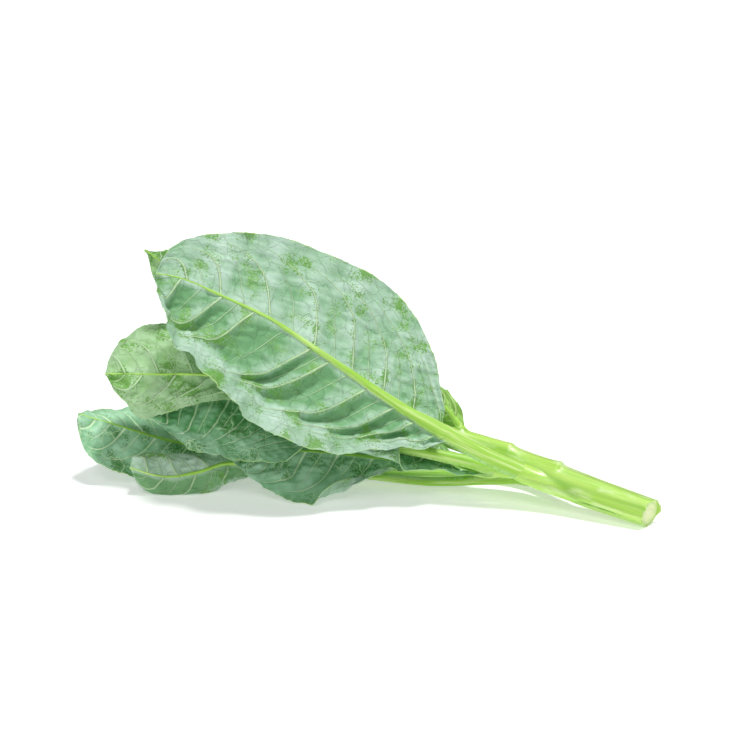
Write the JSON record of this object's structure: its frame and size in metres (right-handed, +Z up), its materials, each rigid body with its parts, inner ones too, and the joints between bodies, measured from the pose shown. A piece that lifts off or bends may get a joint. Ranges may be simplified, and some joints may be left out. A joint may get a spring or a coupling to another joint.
{
  "type": "chinese kale",
  "caption": "Cut shoot of Chinese kale lying on its leaves, with broad waxy blue-green leaves and a thick ridged light-green stem.",
  "frame": {"origin": "middle of the footprint's box, on the table", "axes": "+X towards the cut end of the stem, +Y towards the far side of the shoot, +Z up"},
  "size_m": [0.3248, 0.1357, 0.1435],
  "materials": {
    "stem": "waxy light green stem",
    "leaf_underside": "pale waxy underside of a leaf",
    "leaf_upper": "blue-green upper side of a leaf",
    "young_leaf": "fresh yellow-green young leaf"
  },
  "bodies": {
    "root": {"stem": "stem", "leaf_top": "leaf_underside", "leaf_left": "leaf_underside", "leaf_under": "leaf_upper", "leaf_resting": "leaf_upper", "leaf_curled": "leaf_underside", "leaf_far_left": "leaf_upper", "leaf_behind": "leaf_underside", "leaf_young": "young_leaf", "heart": "young_leaf"}
  },
  "joints": []
}
